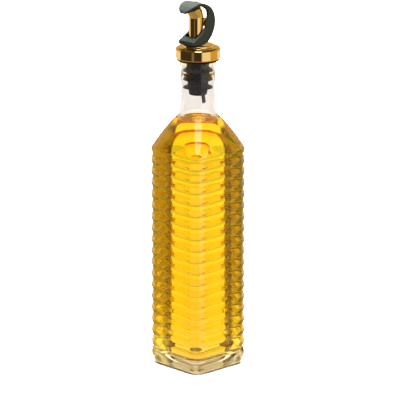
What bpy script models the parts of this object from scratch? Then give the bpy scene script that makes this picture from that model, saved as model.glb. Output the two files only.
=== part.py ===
"""Oil cruet: a square ribbed glass bottle of oil with a gold pourer and a self-closing flip lever.

Metres, +Z up. The origin is the middle of the bottle's underside. The four faces look along
X and Y, and the spout pours towards -Y.
"""

import bmesh
import bpy
from math import cos, hypot, pi, radians, sin, sqrt, tan
from mathutils import Matrix, Vector

MM = 0.001

# Bottle body: rounded square section with stacked ribs
CREST_HALF = 29.7 * MM
CREST_CORNER = 11.0 * MM
RIB_COUNT = 19
RIB_PITCH = 9.36 * MM
RIB_DEPTH = 1.35 * MM
FLAT_RIB_SHARE = 0.8
RIB_STEPS = 5
PLINTH_TOP = 4.3 * MM
PLINTH_HALF = 25.8 * MM
PLINTH_CORNER = 4.4 * MM
BASE_EDGE = 1.2 * MM
PUSH_UP_DEPTH = 0.9 * MM
PUSH_UP_HALF = 19.0 * MM
PUSH_UP_CORNER = 5.0 * MM
CORNER_POINTS = 7

# Bottle shoulder, neck and finish
SHOULDER_FLAT_BULGE = 9.0 * MM
SHOULDER_CORNER_BULGE = 5.0 * MM
NECK_ROOT_RADIUS = 16.1 * MM
NECK_ROOT_Z = 204.5 * MM
NECK_RADIUS = 13.6 * MM
NECK_FILLET = 20.0 * MM
FINISH_RADIUS = 14.3 * MM
FINISH_Z = 238.5 * MM
MOUTH_Z = 248.2 * MM
BORE_RADIUS = 12.2 * MM
WALL = 3.1 * MM
FLOOR_Z = 8.6 * MM
FLOOR_FILLET = 5.0 * MM

# Oil
OIL_LEVEL = 201.5 * MM
OIL_TOP_RADIUS = 15.8 * MM
GAP = 0.3 * MM

# Stopper and vent tube
FLANGE_RADIUS = 17.0 * MM
FLANGE_THICK = 1.3 * MM
CORE_TOP_RADIUS = 9.0 * MM
CORE_END_RADIUS = 7.3 * MM
STOPPER_END_Z = 220.8 * MM
FIN_RADIUS = 11.85 * MM
FIN_Z = (226.6 * MM, 233.2 * MM, 236.7 * MM, 240.3 * MM)
FIN_THICK = 0.8 * MM
POUR_BORE = 4.0 * MM
POUR_BORE_Y = -2.2 * MM
VENT_RADIUS = 1.55 * MM
VENT_BORE = 0.8 * MM
VENT_TOP = (0.0, 4.2 * MM, 226.5 * MM)
VENT_END = (0.0, 6.7 * MM, 213.2 * MM)
VENT_END_CUT = 35.0

# Gold collar
COLLAR_RADIUS = 17.8 * MM
COLLAR_TOP = 259.3 * MM
COLLAR_EDGE = 2.4 * MM
BOSS_RADIUS = 12.2 * MM
BOSS_HEIGHT = 1.9 * MM

# Gold spout: column, bend and nozzle
COLUMN_Y = -1.9 * MM
TUBE_RADIUS = 5.85 * MM
TUBE_BORE = 4.5 * MM
BEND_Z = 285.2 * MM
BEND_RADIUS = 8.0 * MM
NOZZLE_TILT = radians(35.0)
MOUTH_TILT = radians(20.0)
LIP_FRONT_Y = -11.2 * MM
LIP_FRONT_Z = 288.3 * MM
TUBE_SIDES = 28

# Flip lever and its pivot
PIVOT_Y = 5.5 * MM
PIVOT_Z = 278.5 * MM
LUG_RADIUS = 3.3 * MM
LUG_HALF = 5.6 * MM
TRUNNION_RADIUS = 1.3 * MM
TRUNNION_HALF = 7.3 * MM
TRUNNION_PLAY = 0.09 * MM
LEVER_HALF = 8.5 * MM
LEVER_EDGE = 0.8 * MM
SLOT_HALF = 6.25 * MM
SLOT_FRONT_Y = -8.45 * MM
SLOT_TOP_Z = 292.9 * MM
PAD_RADIUS = 6.1 * MM
PAD_CLEARANCE = 0.45 * MM
PAD_HEIGHT = 3.2 * MM
DIMPLE_RADIUS = 1.9 * MM
DIMPLE_DEPTH = 0.9 * MM
STATION_STEPS = 3

# The lever's side shape from the counterweight's front edge, round the back, to the tip of
# the cap: outer edge y and z, then inner edge y and z, in millimetres
LEVER_STATIONS = (
    (-13.0, 262.0, -13.0, 265.2),
    (-7.5, 261.7, -8.3, 267.8),
    (-1.9, 261.8, -3.4, 271.0),
    (3.6, 263.9, 0.1, 274.8),
    (8.3, 269.3, 1.3, 278.6),
    (11.0, 276.4, 2.4, 282.4),
    (10.7, 283.6, 3.0, 285.8),
    (7.6, 290.0, 2.2, 289.0),
    (1.8, 294.6, -0.6, 291.9),
    (-5.5, 296.7, -5.0, 293.7),
    (-11.5, 294.8, -10.2, 291.9),
    (-15.4, 291.2, -13.7, 289.2),
    (-17.0, 288.2, -16.2, 287.5),
)


def clear_scene():
    for item in list(bpy.data.objects):
        bpy.data.objects.remove(item, do_unlink=True)


def principled(name, color, roughness, metallic=0.0, transmission=0.0, ior=1.5):
    material = bpy.data.materials.new(name)
    material.use_nodes = True
    shader = material.node_tree.nodes["Principled BSDF"]
    shader.inputs["Base Color"].default_value = (*color, 1.0)
    shader.inputs["Roughness"].default_value = roughness
    shader.inputs["Metallic"].default_value = metallic
    shader.inputs["Transmission Weight"].default_value = transmission
    shader.inputs["IOR"].default_value = ior
    return material


def piece(name, bm, material, smooth_angle=35.0):
    bmesh.ops.recalc_face_normals(bm, faces=bm.faces)
    mesh = bpy.data.meshes.new(name)
    bm.to_mesh(mesh)
    bm.free()
    mesh.shade_smooth()
    mesh.set_sharp_from_angle(angle=radians(smooth_angle))
    if material:
        mesh.materials.append(material)
    result = bpy.data.objects.new(name, mesh)
    bpy.context.scene.collection.objects.link(result)
    return result


def cutter(name, bm):
    result = piece(name, bm, None)
    result.hide_render = True
    result.display_type = "WIRE"
    return result


def combine(target, other, operation):
    modifier = target.modifiers.new(f"{operation.lower()} {other.name}", "BOOLEAN")
    modifier.operation = operation
    modifier.solver = "EXACT"
    modifier.object = other


def skin(rings):
    """A closed body through rings that all hold the same number of points, capped at both ends."""
    bm = bmesh.new()
    loops = [[bm.verts.new(point) for point in ring] for ring in rings]
    for lower, upper in zip(loops, loops[1:]):
        count = len(lower)
        for i in range(count):
            j = (i + 1) % count
            bm.faces.new((lower[i], lower[j], upper[j], upper[i]))
    for loop in (loops[0], loops[-1]):
        centre = bm.verts.new(sum((vert.co for vert in loop), Vector()) / len(loop))
        for i, vert in enumerate(loop):
            bm.faces.new((vert, loop[(i + 1) % len(loop)], centre))
    return bm


def turned(profile, steps):
    """A body turned round Z from (radius, z) points that start and end on the axis."""
    bm = bmesh.new()
    verts = [bm.verts.new((radius, 0.0, z)) for radius, z in profile]
    edges = [bm.edges.new(pair) for pair in zip(verts, verts[1:])]
    bmesh.ops.spin(
        bm, geom=verts + edges, axis=(0, 0, 1), cent=(0, 0, 0), angle=2 * pi, steps=steps, use_merge=True
    )
    bmesh.ops.remove_doubles(bm, verts=bm.verts, dist=1e-7)
    return bm


def cylinder(radius, start, end, sides):
    """A solid cylinder between two points."""
    start, end = Vector(start), Vector(end)
    turn = (end - start).to_track_quat("Z", "Y").to_matrix().to_4x4()
    bm = bmesh.new()
    bmesh.ops.create_cone(
        bm,
        cap_ends=True,
        segments=sides,
        radius1=radius,
        radius2=radius,
        depth=(end - start).length,
        matrix=Matrix.Translation((start + end) / 2) @ turn,
    )
    return bm


def rounded_square(half, corner, z):
    """A ring of a rounded square's points; where corner equals half it is a circle."""
    points = []
    for quarter in range(4):
        sx, sy = ((1, 1), (-1, 1), (-1, -1), (1, -1))[quarter]
        for i in range(CORNER_POINTS):
            angle = (quarter + (i + 0.5) / CORNER_POINTS) * pi / 2
            x = sx * (half - corner) + corner * cos(angle)
            y = sy * (half - corner) + corner * sin(angle)
            points.append((x, y, z))
    return points


def ribbed_section(inset, z):
    """The ribs are as deep as the inset at the corners, and a little shallower on the flats."""
    half = CREST_HALF - inset * FLAT_RIB_SHARE
    reach = (CREST_HALF - CREST_CORNER) * sqrt(2) + CREST_CORNER - inset
    return rounded_square(half, (sqrt(2) * half - reach) / (sqrt(2) - 1), z)


def shoulder_section(t):
    """Half side and corner radius of the outer shoulder, from the top rib (0) to the neck (1)."""
    bulge = t * (1 - t)
    half = CREST_HALF + (NECK_ROOT_RADIUS - CREST_HALF) * t + SHOULDER_FLAT_BULGE * bulge
    crest_reach = (CREST_HALF - CREST_CORNER) * sqrt(2) + CREST_CORNER
    reach = crest_reach + (NECK_ROOT_RADIUS - crest_reach) * t + SHOULDER_CORNER_BULGE * bulge
    corner = (sqrt(2) * half - reach) / (sqrt(2) - 1)
    return half, min(corner, half)


def neck_radius(z):
    """The outer neck narrows from the shoulder to a straight pipe."""
    t = min((z - NECK_ROOT_Z) / NECK_FILLET, 1.0)
    return NECK_RADIUS + (NECK_ROOT_RADIUS - NECK_RADIUS) * (1 - t) ** 2


def ribs_top():
    return PLINTH_TOP + RIB_COUNT * RIB_PITCH - RIB_PITCH / 2


def outer_rings():
    rings = [
        rounded_square(PUSH_UP_HALF - 3 * MM, PUSH_UP_CORNER, PUSH_UP_DEPTH),
        rounded_square(PUSH_UP_HALF, PUSH_UP_CORNER, 0.0),
        rounded_square(PLINTH_HALF - BASE_EDGE, PLINTH_CORNER - BASE_EDGE, 0.0),
        rounded_square(PLINTH_HALF - BASE_EDGE * 0.3, PLINTH_CORNER - BASE_EDGE * 0.3, BASE_EDGE * 0.3),
        rounded_square(PLINTH_HALF, PLINTH_CORNER, BASE_EDGE),
    ]
    # Each rib is a shallow arc between two grooves; the last one runs into the shoulder
    arc = (RIB_PITCH**2 / 4 + RIB_DEPTH**2) / (2 * RIB_DEPTH)
    for k in range(RIB_COUNT * RIB_STEPS + 1):
        z = PLINTH_TOP + k * RIB_PITCH / RIB_STEPS
        if z > ribs_top():
            break
        across = (k / RIB_STEPS % 1.0 - 0.5) * RIB_PITCH
        rings.append(ribbed_section(arc - sqrt(arc**2 - across**2), z))
    shoulder_steps = 9
    for k in range(shoulder_steps):
        t = k / shoulder_steps
        z = ribs_top() + (NECK_ROOT_Z - ribs_top()) * t
        rings.append(rounded_square(*shoulder_section(t), z))
    neck_steps = 5
    for k in range(neck_steps + 1):
        z = NECK_ROOT_Z + NECK_FILLET * k / neck_steps
        rings.append(rounded_square(neck_radius(z), neck_radius(z), z))
    lip = 0.9 * MM
    for radius, z in (
        (NECK_RADIUS, FINISH_Z),
        (FINISH_RADIUS, FINISH_Z + lip),
        (FINISH_RADIUS, MOUTH_Z - lip),
        (FINISH_RADIUS - lip, MOUTH_Z),
    ):
        rings.append(rounded_square(radius, radius, z))
    return rings


def inner_rings(shrink):
    """The bottle's inner surface from the neck down to the floor, moved inwards by shrink."""
    body = CREST_HALF - WALL - shrink
    corner = CREST_CORNER - WALL + 1.5 * MM
    rings = [(BORE_RADIUS - shrink, BORE_RADIUS - shrink, 222.0 * MM)]
    neck_inner = 14.1 * MM - shrink
    rings.append((12.9 * MM - shrink, 12.9 * MM - shrink, 211.0 * MM))
    rings.append((neck_inner, neck_inner, NECK_ROOT_Z))
    shoulder_steps = 6
    for k in range(1, shoulder_steps):
        t = 1 - k / shoulder_steps
        half, round_off = shoulder_section(t)
        inset = WALL - 1.1 * MM * t + shrink
        z = ribs_top() + (NECK_ROOT_Z - ribs_top()) * t - 1.0 * MM
        rings.append((half - inset, min(round_off, half - inset), z))
    rings.append((body, corner, ribs_top() - 3.0 * MM))
    for k in range(5):
        angle = pi / 2 * k / 4
        inset = FLOOR_FILLET * (1 - cos(angle))
        z = FLOOR_Z + shrink + FLOOR_FILLET * (1 - sin(angle))
        rings.append((body - inset, max(corner - inset * 0.5, 2 * MM), z))
    return [rounded_square(*ring) for ring in rings]


def make_bottle(glass):
    lip_in = 0.6 * MM
    mouth = [
        rounded_square(BORE_RADIUS + lip_in, BORE_RADIUS + lip_in, MOUTH_Z),
        rounded_square(BORE_RADIUS, BORE_RADIUS, MOUTH_Z - lip_in),
    ]
    return piece("bottle", skin(outer_rings() + mouth + inner_rings(0.0)), glass)


def make_oil(oil):
    rings = [ring for ring in inner_rings(GAP) if ring[0][2] < OIL_LEVEL - 0.1 * MM]
    radius = OIL_TOP_RADIUS - GAP
    surface = rounded_square(radius, radius, OIL_LEVEL)
    return piece("oil", skin([surface] + rings), oil)


def make_stopper(rubber):
    top = MOUTH_Z + GAP + FLANGE_THICK

    def core(z):
        t = (z - STOPPER_END_Z) / (MOUTH_Z - STOPPER_END_Z)
        return CORE_END_RADIUS + (CORE_TOP_RADIUS - CORE_END_RADIUS) * min(t * 1.6, 1.0)

    profile = [(0.0, STOPPER_END_Z), (core(STOPPER_END_Z) - 0.6 * MM, STOPPER_END_Z)]
    profile.append((core(STOPPER_END_Z), STOPPER_END_Z + 0.6 * MM))
    for z in FIN_Z:
        profile.append((core(z), z - FIN_THICK))
        profile.append((FIN_RADIUS, z))
        profile.append((FIN_RADIUS - 0.2 * MM, z + 0.5 * MM))
        profile.append((core(z), z + 0.7 * MM))
    profile.append((CORE_TOP_RADIUS, MOUTH_Z + GAP))
    profile.append((FLANGE_RADIUS, MOUTH_Z + GAP))
    profile.append((FLANGE_RADIUS, top))
    profile.append((0.0, top))
    stopper = piece("stopper", turned(profile, 36), rubber)

    # The pour bore runs right through; the vent socket is blind
    over = 5 * MM
    bore = cylinder(POUR_BORE, (0, POUR_BORE_Y, STOPPER_END_Z - over), (0, POUR_BORE_Y, top + over), 20)
    combine(stopper, cutter("pour_bore_cut", bore), "DIFFERENCE")
    axis = (Vector(VENT_END) - Vector(VENT_TOP)).normalized()
    start = Vector(VENT_TOP) - axis * GAP
    socket = cylinder(VENT_RADIUS + GAP, start, VENT_END, 16)
    combine(stopper, cutter("vent_socket_cut", socket), "DIFFERENCE")
    return stopper


def make_vent_tube(rubber):
    axis = (Vector(VENT_END) - Vector(VENT_TOP)).normalized()
    over = 4 * MM
    tube = piece("vent_tube", cylinder(VENT_RADIUS, VENT_TOP, Vector(VENT_END) + axis * over, 16), rubber)
    hole = cylinder(VENT_BORE, Vector(VENT_END) - axis * 5 * MM, Vector(VENT_END) + axis * 2 * over, 12)
    combine(tube, cutter("vent_hole_cut", hole), "DIFFERENCE")
    # The end is cut on a slant, its point towards the spout's side
    block = bmesh.new()
    size = 20 * MM
    slant = Matrix.Rotation(radians(VENT_END_CUT), 4, "X")
    bmesh.ops.create_cube(
        block,
        size=size,
        matrix=Matrix.Translation(VENT_END) @ slant @ Matrix.Translation((0, 0, -size / 2)),
    )
    combine(tube, cutter("vent_slant_cut", block), "DIFFERENCE")
    return tube


def make_collar(gold):
    bottom = MOUTH_Z + GAP + FLANGE_THICK + GAP
    profile = [(0.0, bottom), (COLLAR_RADIUS - 0.4 * MM, bottom), (COLLAR_RADIUS, bottom + 0.5 * MM)]
    for k in range(5):
        angle = pi / 2 * k / 4
        radius = COLLAR_RADIUS - COLLAR_EDGE * (1 - cos(angle))
        profile.append((radius, COLLAR_TOP - COLLAR_EDGE * (1 - sin(angle))))
    profile.append((BOSS_RADIUS, COLLAR_TOP))
    profile.append((BOSS_RADIUS, COLLAR_TOP + BOSS_HEIGHT - 0.4 * MM))
    profile.append((BOSS_RADIUS - 0.4 * MM, COLLAR_TOP + BOSS_HEIGHT))
    profile.append((0.0, COLLAR_TOP + BOSS_HEIGHT))
    collar = piece("collar", turned(profile, 56), gold)
    over = 5 * MM
    hole = cylinder(
        TUBE_RADIUS + GAP, (0, COLUMN_Y, bottom - over), (0, COLUMN_Y, COLLAR_TOP + BOSS_HEIGHT + over), 28
    )
    combine(collar, cutter("column_hole_cut", hole), "DIFFERENCE")
    return collar


def spout_path():
    """Centres and directions along the column, the bend and the nozzle, in the plane x = 0."""
    reach = BEND_RADIUS * tan(NOZZLE_TILT / 2)
    path = [(COLUMN_Y, MOUTH_Z + GAP + FLANGE_THICK + GAP, 0.0)]
    bend_steps = 6
    for k in range(bend_steps + 1):
        angle = NOZZLE_TILT * k / bend_steps
        y = COLUMN_Y - BEND_RADIUS * (1 - cos(angle))
        z = BEND_Z - reach + BEND_RADIUS * sin(angle)
        path.append((y, z, angle))
    return path


def lip_height(y):
    """The slanted plane of the nozzle's mouth."""
    return LIP_FRONT_Z + (y - LIP_FRONT_Y) * tan(MOUTH_TILT)


def tube_ring(radius, y, z, angle):
    ring = []
    for i in range(TUBE_SIDES):
        turn = 2 * pi * i / TUBE_SIDES
        across = radius * sin(turn)
        ring.append((radius * cos(turn), y + across * cos(angle), z + across * sin(angle)))
    return ring


def mouth_ring(radius, past):
    """The nozzle's last ring, slid along its axis onto the mouth's plane and past it."""
    y, z, angle = spout_path()[-1]
    ring = []
    for px, py, pz in tube_ring(radius, y, z, angle):
        slide = (lip_height(py) - pz) / (cos(angle) + sin(angle) * tan(MOUTH_TILT)) + past
        ring.append((px, py - slide * sin(angle), pz + slide * cos(angle)))
    return ring


def make_spout(gold):
    path = spout_path()
    outer = [tube_ring(TUBE_RADIUS, *point) for point in path] + [mouth_ring(TUBE_RADIUS, 0.0)]
    tube = piece("spout", skin(outer), gold)
    lug = cylinder(LUG_RADIUS, (-LUG_HALF, PIVOT_Y, PIVOT_Z), (LUG_HALF, PIVOT_Y, PIVOT_Z), 24)
    combine(tube, cutter("lug", lug), "UNION")
    web = bmesh.new()
    web_size = (2 * LUG_HALF - 2 * MM, PIVOT_Y - COLUMN_Y, 2 * LUG_RADIUS - 0.8 * MM, 1.0)
    web_place = Matrix.Translation((0, (PIVOT_Y + COLUMN_Y) / 2, PIVOT_Z))
    bmesh.ops.create_cube(web, size=1.0, matrix=web_place @ Matrix.Diagonal(web_size))
    combine(tube, cutter("lug_web", web), "UNION")
    trunnion = cylinder(
        TRUNNION_RADIUS, (-TRUNNION_HALF, PIVOT_Y, PIVOT_Z), (TRUNNION_HALF, PIVOT_Y, PIVOT_Z), 20
    )
    combine(tube, cutter("trunnion", trunnion), "UNION")
    y, z, angle = path[0]
    bore_rings = [tube_ring(TUBE_BORE, y, z - 5 * MM, angle)]
    bore_rings += [tube_ring(TUBE_BORE, *point) for point in path[1:]]
    bore_rings.append(mouth_ring(TUBE_BORE, 5 * MM))
    combine(tube, cutter("spout_bore_cut", skin(bore_rings)), "DIFFERENCE")
    return tube


def spline(rows, steps):
    """Rows passed through by a smooth curve, with the given steps between each two."""
    padded = [rows[0]] + list(rows) + [rows[-1]]
    result = []
    for a, b, c, d in zip(padded, padded[1:], padded[2:], padded[3:]):
        for k in range(steps):
            t = k / steps
            result.append(
                tuple(
                    0.5 * (2 * q + (r - p) * t + (2 * p - 5 * q + 4 * r - s) * t**2 + (3 * q - p - 3 * r + s) * t**3)
                    for p, q, r, s in zip(a, b, c, d)
                )
            )
    result.append(tuple(rows[-1]))
    return result


def lever_half_width(y, z):
    """The cap's front end is round seen from above; everything else keeps the full width."""
    past = -LEVER_HALF - y
    if z < PIVOT_Z or past <= 0:
        return LEVER_HALF
    return sqrt(max(LEVER_HALF**2 - past**2, (2.2 * MM) ** 2))


def lever_section(outer_y, outer_z, inner_y, inner_z):
    """A rounded rectangle across the lever between its outer and its inner edge."""
    thick = hypot(outer_y - inner_y, outer_z - inner_z)
    ny, nz = (outer_y - inner_y) / thick, (outer_z - inner_z) / thick
    cy, cz = (outer_y + inner_y) / 2, (outer_z + inner_z) / 2
    half_width = lever_half_width(cy, cz)
    edge = min(LEVER_EDGE, thick * 0.42)
    ring = []
    for sx, sn, start in ((1, 1, 0), (-1, 1, 1), (-1, -1, 2), (1, -1, 3)):
        for k in range(3):
            angle = (start + k / 2) * pi / 2
            x = sx * (half_width - edge) + edge * cos(angle)
            n = sn * (thick / 2 - edge) + edge * sin(angle)
            ring.append((x, cy + n * ny, cz + n * nz))
    return ring


def side_plate(outline, half_width):
    """A prism across X whose side outline is (y, z) points."""
    bm = bmesh.new()
    face = bm.faces.new([bm.verts.new((-half_width, y, z)) for y, z in outline])
    extruded = bmesh.ops.extrude_face_region(bm, geom=[face])["geom"]
    moved = [item for item in extruded if isinstance(item, bmesh.types.BMVert)]
    bmesh.ops.translate(bm, verts=moved, vec=(2 * half_width, 0, 0))
    return bm


def make_lever(plastic):
    rows = [tuple(value * MM for value in row) for row in LEVER_STATIONS]
    sections = [lever_section(*row) for row in spline(rows, STATION_STEPS)]
    bm = skin(sections)
    bmesh.ops.translate(bm, verts=bm.verts, vec=(0, -PIVOT_Y, -PIVOT_Z))
    lever = piece("flip_lever", bm, plastic, 50.0)
    lever.location = (0, PIVOT_Y, PIVOT_Z)

    # The fork's slot leaves the column and the lug free over the whole swing
    slot = side_plate(
        (
            (SLOT_FRONT_Y, 250 * MM),
            (16 * MM, 250 * MM),
            (16 * MM, SLOT_TOP_Z),
            (-1.0 * MM, SLOT_TOP_Z),
            (SLOT_FRONT_Y, 285 * MM),
        ),
        SLOT_HALF,
    )
    combine(lever, cutter("fork_slot_cut", slot), "DIFFERENCE")

    # The round pad that closes the nozzle's mouth hangs under the cap
    lip_back_y = 0.2 * MM
    middle_y = (LIP_FRONT_Y + lip_back_y) / 2
    middle = Vector((0, middle_y, lip_height(middle_y)))
    normal = Vector((0, -sin(MOUTH_TILT), cos(MOUTH_TILT)))
    pad = cylinder(PAD_RADIUS, middle + normal * PAD_CLEARANCE, middle + normal * PAD_HEIGHT, 28)
    combine(lever, cutter("seal_pad", pad), "UNION")

    bearing = TRUNNION_HALF + GAP
    bearing_radius = TRUNNION_RADIUS + TRUNNION_PLAY
    bore = cylinder(bearing_radius, (-bearing, PIVOT_Y, PIVOT_Z), (bearing, PIVOT_Y, PIVOT_Z), 20)
    combine(lever, cutter("trunnion_bore_cut", bore), "DIFFERENCE")

    top = Vector((0, -3.4 * MM, 296.6 * MM))
    dimple = cylinder(DIMPLE_RADIUS, top - Vector((0, 0, DIMPLE_DEPTH)), top + Vector((0, 0, 3 * MM)), 20)
    combine(lever, cutter("dimple_cut", dimple), "DIFFERENCE")
    return lever


def main():
    clear_scene()
    make_bottle(principled("clear glass", (0.93, 0.95, 0.94), 0.03, transmission=1.0))
    make_oil(principled("golden oil", (1.0, 0.72, 0.08), 0.02, transmission=0.9, ior=1.47))
    make_stopper(principled("black rubber", (0.02, 0.02, 0.02), 0.55))
    make_vent_tube(principled("dark tube", (0.03, 0.03, 0.03), 0.45))
    make_collar(principled("gold plating collar", (0.95, 0.66, 0.27), 0.12, metallic=1.0))
    make_spout(principled("gold plating spout", (0.95, 0.66, 0.27), 0.12, metallic=1.0))
    make_lever(principled("dark green plastic", (0.03, 0.05, 0.045), 0.35))


main()
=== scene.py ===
"""The looks of an oil cruet: ribbed glass, golden oil, rubber stopper, gold pourer, flip lever."""

from math import cos, hypot, pi, radians, sin, sqrt, tan

import bmesh
import bpy
from mathutils import Matrix, Vector


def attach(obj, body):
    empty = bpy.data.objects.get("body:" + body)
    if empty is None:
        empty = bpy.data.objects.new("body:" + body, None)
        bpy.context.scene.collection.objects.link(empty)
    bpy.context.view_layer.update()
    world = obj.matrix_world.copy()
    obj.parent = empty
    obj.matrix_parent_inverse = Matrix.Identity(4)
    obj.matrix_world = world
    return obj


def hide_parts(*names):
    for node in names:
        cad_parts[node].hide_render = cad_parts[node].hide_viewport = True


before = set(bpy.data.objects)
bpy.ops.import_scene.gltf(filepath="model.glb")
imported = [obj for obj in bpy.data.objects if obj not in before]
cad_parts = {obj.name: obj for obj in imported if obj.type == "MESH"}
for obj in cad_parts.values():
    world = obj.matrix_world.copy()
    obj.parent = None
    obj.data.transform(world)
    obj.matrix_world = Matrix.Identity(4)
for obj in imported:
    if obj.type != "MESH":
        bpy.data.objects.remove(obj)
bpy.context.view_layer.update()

MM = 0.001

# Camera, from the photograph: where it stands and what its frame takes in
VIEW_TURN = radians(46.5)
VIEW_PITCH = radians(15.0)
VIEW_DISTANCE = 2.6
FRAME_WIDTH = 0.3178
AIM_RIGHT = 1.6 * MM
AIM_Z = 134.4 * MM

# Light, as the glass sees it: its strength behind the object, and its colours round about
BACK_GLOW = 1.6
WHITE = (1.0, 1.0, 1.0)
BEHIND_LIGHT = (1.0, 0.87, 0.72)
FOOT_LIGHT = (1.0, 0.70, 0.55)
FOOT_SIDE = (0.31, 0.21, 0.04)
SIDE_LIGHT = (0.42, 0.315, 0.06)
FRONT_LIGHT = (0.20, 0.20, 0.20)
UNDER_LIGHT = (1.0, 0.80, 0.46)
WALL_LIGHT = (0.62, 0.60, 0.585)
HIGH_LIGHT = (0.36, 0.28, 0.12)
NECK_LIGHT = (0.66, 0.62, 0.595)
NECK_EDGE = (0.26, 0.25, 0.25)
DARK_WALL = (0.030, 0.022, 0.014)
DIM_WALL = (0.15, 0.13, 0.10)
DARK_CEILING = (0.07, 0.06, 0.045)
BLACK = (0.0, 0.0, 0.0)
FLOOR_COLOR = (0.88, 0.88, 0.875)
FLOOR_RADIUS = 6.0
FOOT_ZONE = (0.045, 0.085)
NEAR_ZONE = (0.14, 0.45)
NECK_ZONE = (0.58, 0.64)
WALL_ZONE = (1.00, 1.03)
CEILING_START = 0.70
CEILING_END = 0.80
TOP_LIGHT_POWER = 190
TOP_LIGHT_SIZE = (1.4, 1.4)
FRONT_LIGHT_POWER = 3.6
FRONT_LIGHT_SIZE = (0.5, 0.55)

# Light crosses glass and oil many times before it leaves
CLEAR_BOUNCES = 48
SHINE_BOUNCES = 24

# A mix node's colour inputs and colour output, by number
MIX_FIRST, MIX_SECOND, MIX_RESULT = 6, 7, 2
# A mix node's number inputs and number output, by number
NUMBER_FIRST, NUMBER_SECOND, NUMBER_RESULT = 2, 3, 0

# Surfaces: colours, and each fine relief as scale, strength and depth
GLASS_COLOR = (0.97, 0.975, 0.97)
GLASS_IOR = 1.5
GLASS_RELIEF = (45, 0.10, 0.0004)
OIL_COLOR = (1.0, 0.97, 0.86)
OIL_IOR = 1.47
OIL_RELIEF = (35, 0.04, 0.0002)
OIL_ABSORPTION = (0.984, 0.915, 0.0)
OIL_DENSITY = 81
RUBBER_COLOR = (0.010, 0.008, 0.008)
RUBBER_RELIEF = (900, 0.25, 0.0002)
GOLD_COLOR = (0.91, 0.60, 0.22)
GOLD_RELIEF = (260, 0.05, 0.0002)
PLASTIC_COLOR = (0.030, 0.035, 0.031)
PLASTIC_RELIEF = (1400, 0.2, 0.0001)

# Bottle, from the same driving sizes as the frame's bottle
CREST_HALF = 29.62 * MM
CREST_CORNER = 11.0 * MM
RIB_COUNT = 19
RIB_PITCH = 9.36 * MM
RIB_DEPTH = 1.35 * MM
FLAT_RIB_SHARE = 0.80
ROUND_RIB_WEIGHT = 0.68
SOFT_RIB_WEIGHT = 0.32
RIB_ROWS = 12
PLINTH_TOP = 4.3 * MM
PLINTH_HALF = 25.75 * MM
PLINTH_CORNER = 4.4 * MM
BASE_EDGE = 1.2 * MM
PUSH_UP_DEPTH = 0.9 * MM
PUSH_UP_HALF = 19.0 * MM
PUSH_UP_SLOPE = 3 * MM
PUSH_UP_CORNER = 5.0 * MM
SHOULDER_FLAT_BULGE = 9.0 * MM
SHOULDER_CORNER_BULGE = 5.0 * MM
OUTER_SHOULDER_STEPS = 26
INNER_SHOULDER_STEPS = 20
NECK_ROOT_RADIUS = 16.1 * MM
NECK_ROOT_Z = 204.5 * MM
NECK_RADIUS = 13.6 * MM
NECK_FILLET = 20.0 * MM
NECK_STRAIGHT_Z = 230 * MM
FINISH_RADIUS = 14.3 * MM
FINISH_Z = 238.5 * MM
FINISH_EDGE = 0.9 * MM
MOUTH_Z = 248.2 * MM
MOUTH_EDGE = 0.6 * MM
BORE_RADIUS = 12.2 * MM
BORE_END_Z = 224.5 * MM
NECK_WALL = 1.4 * MM
ROOT_WALL = 2.0 * MM
WALL = 3.1 * MM
FLOOR_Z = 8.6 * MM
FLOOR_FILLET = 5.0 * MM
INNER_STRAIGHT_Z = 165 * MM
CORNER_POINTS = 14
FLAT_POINTS = 7

# Oil: it reaches this far into the glass
OIL_LEVEL = 201.5 * MM
OIL_INTO_GLASS = 0.08 * MM

# The oil's meniscus, in millimetres: how far in from the wall, and how far down
MENISCUS = ((3.0, 0.40), (1.5, 0.36), (0.6, 0.18), (0.0, 0.0))

# Stopper and vent tube
FLANGE_RADIUS = 17.0 * MM
FLANGE_THICK = 1.3 * MM
GAP = 0.3 * MM
CORE_TOP_RADIUS = 9.0 * MM
CORE_END_RADIUS = 7.1 * MM
STOPPER_END_Z = 220.8 * MM
FIN_RADIUS = 11.85 * MM
FIN_Z = (226.6 * MM, 233.2 * MM, 236.7 * MM, 240.3 * MM)
FIN_ROOT = 0.7 * MM
CORE_EDGE = 0.7 * MM
CORE_HOLLOW_DEPTH = 1.5 * MM
VENT_RADIUS = 1.55 * MM
VENT_BORE = 0.8 * MM
VENT_TOP = Vector((0.0, 4.2, 226.5)) * MM
VENT_END = Vector((0.0, 6.7, 213.2)) * MM
VENT_END_CUT = radians(35.0)

# Collar
COLLAR_RADIUS = 17.8 * MM
COLLAR_TOP = 259.3 * MM
COLLAR_EDGE = 2.4 * MM
COLLAR_LOWER_EDGE = 0.5 * MM
COLLAR_UNDERCUT = 0.4 * MM
BOSS_RADIUS = 12.2 * MM
BOSS_HEIGHT = 1.9 * MM
BOSS_FILLET = 0.5 * MM

# Spout
COLUMN_Y = -1.9 * MM
TUBE_RADIUS = 5.85 * MM
TUBE_BORE = 4.5 * MM
TUBE_SIDES = 72
TUBE_EDGE = 0.35 * MM
COLUMN_MIDDLE_Z = 270 * MM
BEND_Z = 285.2 * MM
BEND_RADIUS = 8.0 * MM
NOZZLE_TILT = radians(35.0)
MOUTH_TILT = radians(20.0)
LIP_FRONT_Y = -11.2 * MM
LIP_FRONT_Z = 288.3 * MM

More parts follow.
